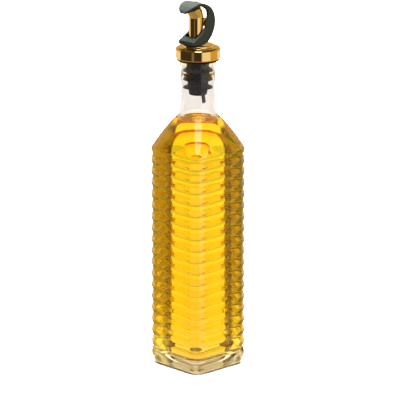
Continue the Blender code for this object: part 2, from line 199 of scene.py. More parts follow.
# Lever
PIVOT_Y = 5.5 * MM
PIVOT_Z = 278.5 * MM
LUG_RADIUS = 3.3 * MM
LUG_HALF = 5.6 * MM
TRUNNION_RADIUS = 1.3 * MM
TRUNNION_HALF = 7.3 * MM
LEVER_HALF = 8.5 * MM
LEVER_EDGE = 0.8 * MM
SLOT_HALF = 6.25 * MM
SLOT_FRONT_Y = -8.45 * MM
SLOT_TOP_Z = 292.9 * MM
SLOT_LOW_Z = 250 * MM
SLOT_BEND_Z = 285 * MM
SLOT_BEND_Y = -1.0 * MM
SLOT_BACK_Y = 16 * MM
CAP_END_HALF = 2.2 * MM
PAD_RADIUS = 6.1 * MM
PAD_CLEARANCE = 0.45 * MM
PAD_HEIGHT = 3.2 * MM
DIMPLE_RADIUS = 1.9 * MM
DIMPLE_DEPTH = 0.9 * MM
DIMPLE_TOP = Vector((0.0, -3.4 * MM, 295.4 * MM))
SKIN_VOXEL = 0.25 * MM

# The lever's side shape, in millimetres: outer edge y and z, then inner edge y and z
LEVER_STATIONS = (
    (-13.0, 262.0, -13.0, 265.2),
    (-7.5, 261.7, -8.3, 267.8),
    (-1.9, 261.8, -3.4, 271.0),
    (3.6, 263.9, 0.1, 274.8),
    (8.3, 269.3, 1.3, 278.6),
    (11.0, 276.4, 2.4, 282.4),
    (10.7, 283.6, 3.0, 285.8),
    (7.6, 289.8, 2.2, 288.6),
    (1.8, 293.8, -0.6, 291.2),
    (-5.5, 295.5, -5.0, 292.7),
    (-11.5, 293.8, -10.2, 291.1),
    (-15.4, 290.8, -13.7, 288.8),
    (-17.0, 288.2, -16.2, 287.5),
)


# Camera, floor and light


def view_axes():
    """The camera's level right, level ahead and backward directions."""
    right = Vector((cos(VIEW_TURN), sin(VIEW_TURN), 0))
    ahead = Vector((-sin(VIEW_TURN), cos(VIEW_TURN), 0))
    back = -ahead * cos(VIEW_PITCH) + Vector((0, 0, sin(VIEW_PITCH)))
    return right, ahead, back


def make_camera():
    right, ahead, back = view_axes()
    data = bpy.data.cameras.new("camera")
    data.sensor_width = 36.0
    data.lens = data.sensor_width * VIEW_DISTANCE / FRAME_WIDTH
    data.clip_end = 50
    camera = bpy.data.objects.new("camera", data)
    aim = right * AIM_RIGHT + Vector((0, 0, AIM_Z))
    camera.location = aim + back * VIEW_DISTANCE
    camera.rotation_mode = "QUATERNION"
    camera.rotation_quaternion = (-back).to_track_quat("-Z", "Y")
    bpy.context.scene.collection.objects.link(camera)
    bpy.context.scene.camera = camera


def softbox(name, place, aim, size, power):
    data = bpy.data.lights.new(name, "AREA")
    data.shape = "RECTANGLE"
    data.size, data.size_y = size
    data.energy = power
    light = bpy.data.objects.new(name, data)
    light.location = place
    light.rotation_mode = "QUATERNION"
    light.rotation_quaternion = (Vector(aim) - Vector(place)).to_track_quat("-Z", "Y")
    bpy.context.scene.collection.objects.link(light)
    light.visible_glossy = False
    light.visible_transmission = False
    return light


def ramp_node(tree, stops):
    node = tree.nodes.new("ShaderNodeValToRGB")
    elements = node.color_ramp.elements
    while len(elements) < len(stops):
        elements.new(0.5)
    for element, (position, color) in zip(elements, stops):
        element.position = position
        element.color = (*color, 1)
    return node


def dot_with(tree, source, direction):
    node = tree.nodes.new("ShaderNodeVectorMath")
    node.operation = "DOT_PRODUCT"
    node.inputs[1].default_value = direction
    tree.links.new(source, node.inputs[0])
    return node.outputs["Value"]


def along(tree, source, direction, span):
    """How far a vector reaches along a direction, from -span (0) to span (1)."""
    remap = tree.nodes.new("ShaderNodeMapRange")
    remap.inputs["From Min"].default_value = -span
    remap.inputs["From Max"].default_value = span
    tree.links.new(dot_with(tree, source, direction), remap.inputs["Value"])
    return remap.outputs["Result"]


def compass(tree, source):
    """A vector's bearing: 0.5 is the camera's side, 0.75 its right, and 0 and 1 are behind."""
    right, ahead, _ = view_axes()
    turn = tree.nodes.new("ShaderNodeMath")
    turn.operation = "ARCTAN2"
    tree.links.new(dot_with(tree, source, right), turn.inputs[0])
    tree.links.new(dot_with(tree, source, -ahead), turn.inputs[1])
    remap = tree.nodes.new("ShaderNodeMapRange")
    remap.inputs["From Min"].default_value = -pi
    remap.inputs["From Max"].default_value = pi
    tree.links.new(turn.outputs["Value"], remap.inputs["Value"])
    return remap.outputs["Result"]


def blend_colors(tree, factor, first, second):
    node = tree.nodes.new("ShaderNodeMix")
    node.data_type = "RGBA"
    tree.links.new(factor, node.inputs["Factor"])
    tree.links.new(first, node.inputs[MIX_FIRST])
    tree.links.new(second, node.inputs[MIX_SECOND])
    return node.outputs[MIX_RESULT]


def round_stops(*stops):
    """Ramp stops from bearings in degrees: 0 is the camera's side, 90 its right, 180 behind."""
    return tuple((0.5 + degrees / 360, color) for degrees, color in stops)


def bearings(behind):
    """What stands round the room, from behind on the left, past the camera, to the right."""
    return round_stops(
        (-180, behind),
        (-104, behind),
        (-96, DARK_WALL),
        (-34, DARK_WALL),
        (-29, DIM_WALL),
        (-22, DIM_WALL),
        (-18, DARK_WALL),
        (17, DARK_WALL),
        (24, WALL_LIGHT),
        (62, WALL_LIGHT),
        (70, SIDE_LIGHT),
        (112, SIDE_LIGHT),
        (120, behind),
        (180, behind),
    )


def near_bearings(behind, side):
    """The floor's painted glow round the foot: bright behind it, golden to the sides, dim in front.
    """
    return round_stops(
        (-180, behind),
        (-147, behind),
        (-137, side),
        (-60, side),
        (-40, FRONT_LIGHT),
        (40, FRONT_LIGHT),
        (60, side),
        (137, side),
        (147, behind),
        (180, behind),
    )


def neck_bearings():
    """The ring of painted floor glow that the clear neck shows: pale behind it, dim to the sides.
    """
    return round_stops(
        (-180, NECK_LIGHT),
        (-142, NECK_LIGHT),
        (-132, NECK_EDGE),
        (132, NECK_EDGE),
        (142, NECK_LIGHT),
    )


def make_room():
    """The walls: dark and bright panels all round, under a dark ceiling."""
    world = bpy.data.worlds.new("studio")
    bpy.context.scene.world = world
    world.use_nodes = True
    tree = world.node_tree
    coords = tree.nodes.new("ShaderNodeTexCoord").outputs["Generated"]
    walls = ramp_node(tree, bearings(HIGH_LIGHT))
    tree.links.new(compass(tree, coords), walls.inputs["Fac"])
    levels = ((0.0, BLACK), (CEILING_START, BLACK), (CEILING_END, WHITE), (1.0, WHITE))
    height = ramp_node(tree, levels)
    tree.links.new(along(tree, coords, Vector((0, 0, 1)), 1), height.inputs["Fac"])
    ceiling = tree.nodes.new("ShaderNodeRGB")
    ceiling.outputs["Color"].default_value = (*DARK_CEILING, 1)
    room = blend_colors(
        tree, height.outputs["Color"], walls.outputs["Color"], ceiling.outputs["Color"]
    )
    path = tree.nodes.new("ShaderNodeLightPath")
    strength = tree.nodes.new("ShaderNodeMix")
    strength.inputs[NUMBER_FIRST].default_value = BACK_GLOW
    strength.inputs[NUMBER_SECOND].default_value = 1.0
    tree.links.new(path.outputs["Is Camera Ray"], strength.inputs["Factor"])
    pick = tree.nodes.new("ShaderNodeMix")
    pick.data_type = "RGBA"
    pick.inputs[MIX_SECOND].default_value = (*WHITE, 1)
    tree.links.new(path.outputs["Is Camera Ray"], pick.inputs["Factor"])
    tree.links.new(room, pick.inputs[MIX_FIRST])
    background = tree.nodes["Background"]
    tree.links.new(pick.outputs[MIX_RESULT], background.inputs["Color"])
    tree.links.new(strength.outputs[NUMBER_RESULT], background.inputs["Strength"])


def make_floor():
    """A pale floor. Glass and gold see it glow with painted light in rings, bright behind and dim
    elsewhere.
    """
    bm = bmesh.new()
    bmesh.ops.create_circle(bm, cap_ends=True, segments=96, radius=FLOOR_RADIUS)
    floor = link("floor", bm)
    material = bpy.data.materials.new("pale floor")
    floor.data.materials.append(material)
    material.use_nodes = True
    tree = material.node_tree
    shader = tree.nodes["Principled BSDF"]
    shader.inputs["Base Color"].default_value = (*FLOOR_COLOR, 1)
    shader.inputs["Roughness"].default_value = 0.7
    shader.inputs["Specular IOR Level"].default_value = 0.2
    coords = tree.nodes.new("ShaderNodeTexCoord").outputs["Object"]
    turn = compass(tree, coords)
    foot = ramp_node(tree, near_bearings(FOOT_LIGHT, FOOT_SIDE))
    near = ramp_node(tree, near_bearings(BEHIND_LIGHT, SIDE_LIGHT))
    ring = ramp_node(tree, neck_bearings())
    walls = ramp_node(tree, bearings(WALL_LIGHT))
    for ramp in (foot, near, ring, walls):
        tree.links.new(turn, ramp.inputs["Fac"])
    length = tree.nodes.new("ShaderNodeVectorMath")
    length.operation = "LENGTH"
    tree.links.new(coords, length.inputs[0])
    under = tree.nodes.new("ShaderNodeRGB")
    light = under.outputs["Color"]
    light.default_value = (*UNDER_LIGHT, 1)
    zones = ((FOOT_ZONE, foot), (NEAR_ZONE, near), (NECK_ZONE, ring), (WALL_ZONE, walls))
    for (start, end), ramp in zones:
        step = tree.nodes.new("ShaderNodeMapRange")
        step.inputs["From Min"].default_value = start
        step.inputs["From Max"].default_value = end
        tree.links.new(length.outputs["Value"], step.inputs["Value"])
        light = blend_colors(tree, step.outputs["Result"], light, ramp.outputs["Color"])
    # Painted light: the floor glows with these rings for every ray but the camera's, which sees it
    # pale and lit
    glow = tree.nodes.new("ShaderNodeEmission")
    glow.inputs["Strength"].default_value = BACK_GLOW
    tree.links.new(light, glow.inputs["Color"])
    path = tree.nodes.new("ShaderNodeLightPath")
    pick = tree.nodes.new("ShaderNodeMixShader")
    tree.links.new(path.outputs["Is Camera Ray"], pick.inputs[0])
    tree.links.new(glow.outputs["Emission"], pick.inputs[1])
    tree.links.new(shader.outputs["BSDF"], pick.inputs[2])
    tree.links.new(pick.outputs["Shader"], tree.nodes["Material Output"].inputs["Surface"])


def make_studio():
    right, ahead, _ = view_axes()
    scene = bpy.context.scene
    scene.view_settings.view_transform = "Standard"
    scene.cycles.max_bounces = CLEAR_BOUNCES
    scene.cycles.transmission_bounces = CLEAR_BOUNCES
    scene.cycles.glossy_bounces = SHINE_BOUNCES
    make_room()
    make_floor()
    middle = Vector((0, 0, 0.15))
    place = ahead * 0.3 + Vector((0, 0, 1.5))
    softbox("top light", place, middle, TOP_LIGHT_SIZE, TOP_LIGHT_POWER)
    place = -ahead * 0.56 + right * 0.04 + Vector((0, 0, 1.24))
    front = softbox("front light", place, middle, FRONT_LIGHT_SIZE, FRONT_LIGHT_POWER)
    front.visible_glossy = True


# Materials


def group_noise_bump():
    """Shared surface relief: fine noise, put out as a normal and a mask."""
    group = bpy.data.node_groups.new("fine relief", "ShaderNodeTree")
    for name in ("Scale", "Strength", "Depth"):
        group.interface.new_socket(name, in_out="INPUT", socket_type="NodeSocketFloat")
    group.interface.new_socket("Normal", in_out="OUTPUT", socket_type="NodeSocketVector")
    group.interface.new_socket("Mask", in_out="OUTPUT", socket_type="NodeSocketFloat")
    nodes, links = group.nodes, group.links
    start = nodes.new("NodeGroupInput")
    end = nodes.new("NodeGroupOutput")
    coords = nodes.new("ShaderNodeTexCoord")
    noise = nodes.new("ShaderNodeTexNoise")
    noise.inputs["Detail"].default_value = 4
    bump = nodes.new("ShaderNodeBump")
    links.new(coords.outputs["Object"], noise.inputs["Vector"])
    links.new(start.outputs["Scale"], noise.inputs["Scale"])
    links.new(noise.outputs["Fac"], bump.inputs["Height"])
    links.new(start.outputs["Strength"], bump.inputs["Strength"])
    links.new(start.outputs["Depth"], bump.inputs["Distance"])
    links.new(bump.outputs["Normal"], end.inputs["Normal"])
    links.new(noise.outputs["Fac"], end.inputs["Mask"])


SOCKETS = {
    "metallic": "Metallic",
    "ior": "IOR",
    "transmission": "Transmission Weight",
    "specular": "Specular IOR Level",
}


def material(name, color, roughness, relief=None, spread=0.0, **weights):
    """A material whose normal, and roughness if spread, follow the shared relief."""
    result = bpy.data.materials.new(name)
    result.use_nodes = True
    nodes, links = result.node_tree.nodes, result.node_tree.links
    shader = nodes["Principled BSDF"]
    shader.inputs["Base Color"].default_value = (*color, 1)
    shader.inputs["Roughness"].default_value = roughness
    for key, socket in SOCKETS.items():
        if key in weights:
            shader.inputs[socket].default_value = weights[key]
    if relief:
        scale, strength, depth = relief
        node = nodes.new("ShaderNodeGroup")
        node.node_tree = bpy.data.node_groups["fine relief"]
        node.inputs["Scale"].default_value = scale
        node.inputs["Strength"].default_value = strength
        node.inputs["Depth"].default_value = depth
        links.new(node.outputs["Normal"], shader.inputs["Normal"])
        if spread:
            remap = nodes.new("ShaderNodeMapRange")
            remap.inputs["To Min"].default_value = roughness - spread
            remap.inputs["To Max"].default_value = roughness + spread
            links.new(node.outputs["Mask"], remap.inputs["Value"])
            links.new(remap.outputs["Result"], shader.inputs["Roughness"])
    return result


def glass_material():
    return material(
        "clear glass", GLASS_COLOR, 0.0, GLASS_RELIEF, ior=GLASS_IOR, transmission=1.0
    )


def oil_material():
    result = material("golden oil", OIL_COLOR, 0.0, OIL_RELIEF, ior=OIL_IOR, transmission=1.0)
    nodes, links = result.node_tree.nodes, result.node_tree.links
    absorb = nodes.new("ShaderNodeVolumeAbsorption")
    absorb.inputs["Color"].default_value = (*OIL_ABSORPTION, 1)
    absorb.inputs["Density"].default_value = OIL_DENSITY
    output = next(node for node in nodes if node.type == "OUTPUT_MATERIAL")
    links.new(absorb.outputs["Volume"], output.inputs["Volume"])
    return result


# Shared shape tools


def in_order(bm):
    """Edges and faces in the order of their corners, so that every run gives the same mesh."""
    bm.verts.index_update()
    for parts in (bm.edges, bm.faces):
        ordered = sorted(parts, key=lambda part: sorted(vert.index for vert in part.verts))
        rank = {part: place for place, part in enumerate(ordered)}
        parts.sort(key=rank.get)


def swept(rings):
    """A closed body: a first ring extruded from ring to ring, with both ends closed."""
    bm = bmesh.new()
    loop = [bm.verts.new(point) for point in rings[0]]
    edges = [bm.edges.new((a, b)) for a, b in zip(loop, loop[1:] + loop[:1])]
    bmesh.ops.contextual_create(bm, geom=edges)
    for ring in rings[1:]:
        grown = bmesh.ops.extrude_edge_only(bm, edges=edges)["geom"]
        fresh = {item for item in grown if isinstance(item, bmesh.types.BMVert)}
        following = []
        for vert in loop:
            ends = (edge.other_vert(vert) for edge in vert.link_edges)
            following.append(next(end for end in ends if end in fresh))
        loop = following
        for vert, point in zip(loop, ring):
            vert.co = point
        edges = [bm.edges.get((a, b)) for a, b in zip(loop, loop[1:] + loop[:1])]
    bmesh.ops.contextual_create(bm, geom=edges)
    bmesh.ops.recalc_face_normals(bm, faces=bm.faces)
    in_order(bm)
    return bm


def turned(profile, steps):
    """A body spun round the middle axis from (radius, z) points that start and end on it."""
    bm = bmesh.new()
    verts = [bm.verts.new((radius, 0, z)) for radius, z in profile]
    edges = [bm.edges.new(pair) for pair in zip(verts, verts[1:])]
    bmesh.ops.spin(
        bm,
        geom=verts + edges,
        axis=(0, 0, 1),
        cent=(0, 0, 0),
        angle=2 * pi,
        steps=steps,
        use_merge=True,
    )
    bmesh.ops.remove_doubles(bm, verts=bm.verts, dist=1e-6)
    bmesh.ops.recalc_face_normals(bm, faces=bm.faces)
    in_order(bm)
    return bm


def cylinder(radius, start, end, sides):
    bm = bmesh.new()
    start, end = Vector(start), Vector(end)
    turn = (end - start).to_track_quat("Z", "Y").to_matrix().to_4x4()
    bmesh.ops.create_cone(
        bm,
        cap_ends=True,
        segments=sides,
        radius1=radius,
        radius2=radius,
        depth=(end - start).length,
        matrix=Matrix.Translation((start + end) / 2) @ turn,
    )
    return bm


def link(name, bm, look=None, sharp=None):
    mesh = bpy.data.meshes.new(name)
    bm.to_mesh(mesh)
    bm.free()
    mesh.shade_smooth()
    if sharp:
        mesh.set_sharp_from_angle(angle=radians(sharp))
    if look:
        mesh.materials.append(look)
    obj = bpy.data.objects.new(name, mesh)
    bpy.context.scene.collection.objects.link(obj)
    return obj


def cut(obj, bm, operation="DIFFERENCE"):
    """A Boolean with a helper that is removed once the result is in the mesh."""
    helper = link(obj.name + "_helper", bm)
    modifier = obj.modifiers.new("cut", "BOOLEAN")
    modifier.operation = operation
    modifier.solver = "EXACT"
    modifier.object = helper
    settle(obj)
    bpy.data.objects.remove(helper)


def settle(obj):
    """The object's mesh takes the result of its modifiers."""
    graph = bpy.context.evaluated_depsgraph_get()
    mesh = bpy.data.meshes.new_from_object(obj.evaluated_get(graph))
    old = obj.data
    obj.modifiers.clear()
    obj.data = mesh
    mesh.name = obj.name
    bpy.data.meshes.remove(old)


def resharpen(obj, degrees):
    """Smooth shading again after the cuts, with edges sharper than the angle kept."""
    obj.data.shade_smooth()
    obj.data.set_sharp_from_angle(angle=radians(degrees))


def moulded(obj, voxel):
    """Soft moulded edges: an even skin over the shape, smoothed a little."""
    remesh = obj.modifiers.new("even skin", "REMESH")
    remesh.mode = "VOXEL"
    remesh.voxel_size = voxel
    remesh.use_smooth_shade = True
    smooth = obj.modifiers.new("soft edges", "SMOOTH")
    smooth.factor = 0.5
    smooth.iterations = 6
    settle(obj)


def arc(start, end, steps):
    """Even values from start to end, for angles, heights and shares."""
    return [start + (end - start) * k / steps for k in range(steps + 1)]


# Bottle and oil


def rounded_square(half, corner, z):
    """A ring of a rounded square's points; where corner equals half it is a circle."""
    points = []
    for quarter in range(4):
        turn = Matrix.Rotation(quarter * pi / 2, 3, "Z")
        flat = half - corner
        for i in range(CORNER_POINTS):
            angle = (i + 0.5) / CORNER_POINTS * pi / 2
            reach = Vector((flat + corner * cos(angle), flat + corner * sin(angle), z))
            points.append(turn @ reach)
        for i in range(FLAT_POINTS):
            along_flat = 1 - 2 * (i + 1) / (FLAT_POINTS + 1)
            side = flat * along_flat
            rise = corner * sin(0.5 / CORNER_POINTS * pi / 2) * along_flat
            points.append(turn @ Vector((side + rise, half, z)))
    return points


def ribbed_section(inset, z):
    """The ribs are as deep as the inset at the corners, and shallower on the flats."""
    half = CREST_HALF - inset * FLAT_RIB_SHARE
    reach = (CREST_HALF - CREST_CORNER) * sqrt(2) + CREST_CORNER - inset
    return rounded_square(half, (sqrt(2) * half - reach) / (sqrt(2) - 1), z)


def rib_inset(across):
    """How far the ribs stand back at this height from a crest: round, with soft grooves."""
    curve = (RIB_PITCH**2 / 4 + RIB_DEPTH**2) / (2 * RIB_DEPTH)
    round_rib = curve - sqrt(curve**2 - across**2)
    soft_rib = RIB_DEPTH * (1 - cos(2 * pi * across / RIB_PITCH)) / 2
    return ROUND_RIB_WEIGHT * round_rib + SOFT_RIB_WEIGHT * soft_rib


def ribs_top():
    return PLINTH_TOP + RIB_COUNT * RIB_PITCH - RIB_PITCH / 2


def shoulder_section(t):
    """Half side and corner radius of the outer shoulder, from the top rib (0) to the neck (1)."""
    bulge = t * (1 - t)
    half = CREST_HALF + (NECK_ROOT_RADIUS - CREST_HALF) * t + SHOULDER_FLAT_BULGE * bulge
    crest_reach = (CREST_HALF - CREST_CORNER) * sqrt(2) + CREST_CORNER
    reach = crest_reach + (NECK_ROOT_RADIUS - crest_reach) * t + SHOULDER_CORNER_BULGE * bulge
    corner = (sqrt(2) * half - reach) / (sqrt(2) - 1)
    return half, min(corner, half)


def circle(radius, z):
    """A ring with as many points as rounded_square's, so both join in one body."""
    return rounded_square(radius, radius, z)


def neck_radius(z):
    t = min((z - NECK_ROOT_Z) / NECK_FILLET, 1.0)
    return NECK_RADIUS + (NECK_ROOT_RADIUS - NECK_RADIUS) * (1 - t) ** 2


def outer_rings():
    """The bottle's outside, from the push-up under its foot to the top of its mouth."""
    rings = [
        rounded_square(PUSH_UP_HALF - PUSH_UP_SLOPE, PUSH_UP_CORNER, PUSH_UP_DEPTH),
        rounded_square(PUSH_UP_HALF, PUSH_UP_CORNER, 0.0),
        rounded_square(PLINTH_HALF - BASE_EDGE, PLINTH_CORNER - BASE_EDGE, 0.0),
    ]
    for angle in arc(0.15 * pi, 0.5 * pi, 4):
        inset = BASE_EDGE * (1 - sin(angle))
        z = BASE_EDGE * (1 - cos(angle))
        rings.append(rounded_square(PLINTH_HALF - inset, PLINTH_CORNER - inset, z))
    for k in range(RIB_COUNT * RIB_ROWS + 1):
        z = PLINTH_TOP + k * RIB_PITCH / RIB_ROWS
        if z > ribs_top():
            break
        across = (k / RIB_ROWS % 1.0 - 0.5) * RIB_PITCH
        rings.append(ribbed_section(rib_inset(across), z))
    for k in range(1, OUTER_SHOULDER_STEPS):
        t = k / OUTER_SHOULDER_STEPS
        z = ribs_top() + (NECK_ROOT_Z - ribs_top()) * t
        rings.append(rounded_square(*shoulder_section(t), z))
    fillet_levels = arc(NECK_ROOT_Z, NECK_ROOT_Z + NECK_FILLET, 14)
    for z in fillet_levels + arc(NECK_STRAIGHT_Z, FINISH_Z, 3):
        rings.append(circle(neck_radius(z), z))
    for angle in arc(0.0, pi / 2, 4):
        radius = FINISH_RADIUS - FINISH_EDGE * (1 - sin(angle))
        rings.append(circle(radius, FINISH_Z + FINISH_EDGE * (1.6 - cos(angle))))
    for angle in arc(0.0, pi / 2, 5):
        radius = FINISH_RADIUS - FINISH_EDGE * (1 - cos(angle))
        rings.append(circle(radius, MOUTH_Z - FINISH_EDGE * (1 - sin(angle))))
    return rings


def bore_radius(z):
    """The bore widens from the straight neck down to the shoulder, as its wall thickens."""
    share = (BORE_END_Z - z) / (BORE_END_Z - NECK_ROOT_Z)
    return neck_radius(z) - NECK_WALL - (ROOT_WALL - NECK_WALL) * share


def inner_sizes(shrink):
    """Half side, corner and height down the bottle's inner surface, moved in by shrink."""
    body = CREST_HALF - WALL - shrink
    corner = CREST_CORNER - WALL + 1.5 * MM
    sizes = []
    for z in arc(BORE_END_Z, NECK_ROOT_Z, 12):
        radius = bore_radius(z) - shrink
        sizes.append((radius, radius, z))
    for k in range(1, INNER_SHOULDER_STEPS):
        t = 1 - k / INNER_SHOULDER_STEPS
        half, round_off = shoulder_section(t)
        inset = WALL + (ROOT_WALL - WALL) * t + shrink
        z = ribs_top() + (NECK_ROOT_Z - ribs_top()) * t - 1.0 * MM * min(1.0, 4 * (1 - t))
        sizes.append((half - inset, min(round_off, half - inset), z))
    for t in arc(0.0, 1.0, 4):
        sizes.append((body, corner, ribs_top() - (2 + 3 * t) * MM))
    for z in arc(INNER_STRAIGHT_Z, FLOOR_Z + 2 * FLOOR_FILLET, 6):
        sizes.append((body, corner, z))
    for angle in arc(0.0, pi / 2, 8):
        inset = FLOOR_FILLET * (1 - cos(angle))
        z = FLOOR_Z + shrink + FLOOR_FILLET * (1 - sin(angle))
        sizes.append((body - inset, max(corner - inset * 0.5, 2 * MM), z))
    return sizes


def make_bottle(look):
    mouth = []
    for angle in arc(0.0, pi / 2, 4):
        radius = BORE_RADIUS + MOUTH_EDGE * (1 - sin(angle))
        mouth.append(circle(radius, MOUTH_Z - MOUTH_EDGE * (1 - cos(angle))))
    inner = [rounded_square(*size) for size in inner_sizes(0.0)]
    bottle = link("glass_bottle", swept(outer_rings() + mouth + inner), look, 40)
    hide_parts("bottle")
    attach(bottle, "cruet")


def wall_at(level):
    """Half side and corner of the inner wall at a height near the neck's root."""
    sizes = inner_sizes(0.0)
    for upper, lower in zip(sizes, sizes[1:]):
        if lower[2] <= level <= upper[2]:
            share = (level - lower[2]) / (upper[2] - lower[2])
            pairs = zip(lower[:2], upper[:2])
            return tuple(low + (high - low) * share for low, high in pairs)
    return sizes[0][:2]


def make_oil(look):
    sizes = [size for size in inner_sizes(-OIL_INTO_GLASS) if size[2] < OIL_LEVEL - 0.5 * MM]
    half, corner = (value + OIL_INTO_GLASS for value in wall_at(OIL_LEVEL))
    rings = []
    for inset, drop in MENISCUS:
        level = OIL_LEVEL - drop * MM
        rings.append(rounded_square(half - inset * MM, corner - inset * MM, level))
    rings += [rounded_square(*size) for size in sizes]
    oil = link("oil_fill", swept(rings), look, 40)
    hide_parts("oil")
    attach(oil, "cruet")


# Stopper and vent tube


def core_radius(z):
    """The stopper's core tapers downwards, below a straight upper part."""
    t = (z - STOPPER_END_Z) / (MOUTH_Z - STOPPER_END_Z)
    return CORE_END_RADIUS + (CORE_TOP_RADIUS - CORE_END_RADIUS) * min(t * 1.6, 1.0)


def fin_profile(z):
    """One thin blade round the core, from its lower root to its upper one."""
    return [
        (core_radius(z - FIN_ROOT), z - FIN_ROOT),
        (core_radius(z) + 0.4 * MM, z - 0.4 * MM),
        (FIN_RADIUS - 0.2 * MM, z - 0.08 * MM),
        (FIN_RADIUS, z + 0.06 * MM),
        (FIN_RADIUS - 0.1 * MM, z + 0.22 * MM),
        (core_radius(z) + 0.5 * MM, z + 0.3 * MM),
        (core_radius(z + FIN_ROOT), z + FIN_ROOT),
    ]


def make_stopper(look):
    end = STOPPER_END_Z
    hollow = end + CORE_HOLLOW_DEPTH
    profile = [(0.0, hollow), (3.4 * MM, hollow), (3.6 * MM, end + 0.1 * MM)]
    for angle in arc(0.0, pi / 2, 4):
        radius = core_radius(end) - CORE_EDGE * (1 - sin(angle))
        profile.append((radius, end + CORE_EDGE * (1 - cos(angle))))
    for z in FIN_Z:
        profile += fin_profile(z)
    under = MOUTH_Z + GAP
    profile += [(CORE_TOP_RADIUS, under - 0.4 * MM), (CORE_TOP_RADIUS + 0.4 * MM, under)]
    bulge = FLANGE_THICK / 2
    for angle in arc(-pi / 2, pi / 2, 8):
        radius = FLANGE_RADIUS - bulge + bulge * cos(angle)
        profile.append((radius, under + bulge + bulge * sin(angle)))
    profile.append((0.0, under + FLANGE_THICK))
    stopper = link("rubber_stopper", turned(profile, 96), look, 50)
    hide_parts("stopper")
    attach(stopper, "cruet")


def make_vent_tube(look):
    axis = (VENT_END - VENT_TOP).normalized()
    tube = link("vent_tip", cylinder(VENT_RADIUS, VENT_TOP, VENT_END + axis * 4 * MM, 48), look, 40)
    cut(tube, cylinder(VENT_BORE, VENT_END - axis * 5 * MM, VENT_END + axis * 8 * MM, 32))
    # A block takes off the slanted end
    size = 20 * MM
    block = bmesh.new()
    place = Matrix.Translation(VENT_END) @ Matrix.Rotation(VENT_END_CUT, 4, "X")
    place = place @ Matrix.Translation((0, 0, -size / 2))
    bmesh.ops.create_cube(block, size=size, matrix=place)
    cut(tube, block)
    resharpen(tube, 35)
    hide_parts("vent_tube")
    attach(tube, "cruet")


# Gold pieces


def make_collar(look):
    bottom = MOUTH_Z + 2 * GAP + FLANGE_THICK
    hollow = bottom + COLLAR_UNDERCUT
    profile = [(0.0, hollow), (TUBE_RADIUS + GAP, hollow), (COLLAR_RADIUS - 0.8 * MM, bottom)]
    for angle in arc(-pi / 2, 0.0, 4):
        radius = COLLAR_RADIUS + COLLAR_LOWER_EDGE * (cos(angle) - 1)
        profile.append((radius, bottom + COLLAR_LOWER_EDGE * (1 + sin(angle))))
    # Two close loops keep the side's reflections straight
    for z in (bottom + 0.65 * MM, COLLAR_TOP - COLLAR_EDGE - 0.15 * MM):
        profile.append((COLLAR_RADIUS, z))
    for angle in arc(0.0, pi / 2, 12):
        radius = COLLAR_RADIUS - COLLAR_EDGE * (1 - cos(angle))
        profile.append((radius, COLLAR_TOP - COLLAR_EDGE * (1 - sin(angle))))
    boss_top = COLLAR_TOP + BOSS_HEIGHT
    for angle in arc(0.0, pi / 2, 4):
        radius = BOSS_RADIUS + BOSS_FILLET * (1 - sin(angle))
        profile.append((radius, COLLAR_TOP + BOSS_FILLET * (1 - cos(angle))))
    for angle in arc(0.0, pi / 2, 5):
        radius = BOSS_RADIUS - BOSS_FILLET * (1 - cos(angle))
        profile.append((radius, boss_top - BOSS_FILLET * (1 - sin(angle))))
    profile.append((0.0, boss_top))
    collar = link("gold_collar", turned(profile, 128), look, 50)
    over = 5 * MM
    hole_low = (0, COLUMN_Y, bottom - over)
    hole_high = (0, COLUMN_Y, boss_top + over)
    cut(collar, cylinder(TUBE_RADIUS + GAP, hole_low, hole_high, 96))
    resharpen(collar, 40)
    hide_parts("collar")
    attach(collar, "cruet")


def spout_path():
    """Centres and tilts along the column, the bend and the nozzle, in the plane x = 0."""
    reach = BEND_RADIUS * tan(NOZZLE_TILT / 2)
    foot_z = MOUTH_Z + 2 * GAP + FLANGE_THICK
    path = [(COLUMN_Y, foot_z, 0.0), (COLUMN_Y, COLUMN_MIDDLE_Z, 0.0)]
    for angle in arc(0.0, NOZZLE_TILT, 16):
        y = COLUMN_Y - BEND_RADIUS * (1 - cos(angle))
        path.append((y, BEND_Z - reach + BEND_RADIUS * sin(angle), angle))
    return path


def lip_height(y):
    """The slanted plane of the nozzle's mouth."""
    return LIP_FRONT_Z + (y - LIP_FRONT_Y) * tan(MOUTH_TILT)


def tube_ring(radius, y, z, angle):
    """A ring of the spout's tube, square to its tilted axis."""
    ring = []
    for i in range(TUBE_SIDES):
        turn = 2 * pi * i / TUBE_SIDES
        across = radius * sin(turn)
        ring.append(Vector((radius * cos(turn), y + across * cos(angle), z + across * sin(angle))))
    return ring


def mouth_ring(radius, past):
    """The nozzle's last ring, slid along its axis onto the mouth's plane and past it."""
    y, z, angle = spout_path()[-1]
    ring = []
    for point in tube_ring(radius, y, z, angle):
        rise = cos(angle) + sin(angle) * tan(MOUTH_TILT)
        slide = (lip_height(point.y) - point.z) / rise + past
        ring.append(point + Vector((0, -slide * sin(angle), slide * cos(angle))))
    return ring


def make_spout(look):
    path = spout_path()
    edge = TUBE_EDGE
    rings = [tube_ring(TUBE_RADIUS, *point) for point in path]
    rings += [
        mouth_ring(TUBE_RADIUS, -2 * edge),
        mouth_ring(TUBE_RADIUS, -edge),
        mouth_ring(TUBE_RADIUS - edge * 0.3, -edge * 0.3),
        mouth_ring(TUBE_RADIUS - edge, 0.0),
        mouth_ring(TUBE_BORE + edge * 0.5, 0.0),
        mouth_ring(TUBE_BORE, -edge),
    ]
    rings += [tube_ring(TUBE_BORE, *point) for point in reversed(path)]
    spout = link("gold_spout", swept(rings), look, 50)
    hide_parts("spout")
    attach(spout, "cruet")


def hinge_bar(radius, half_length, sides):
    """A cylinder along the hinge's axis."""
    left = (-half_length, PIVOT_Y, PIVOT_Z)
    right = (half_length, PIVOT_Y, PIVOT_Z)
    return cylinder(radius, left, right, sides)


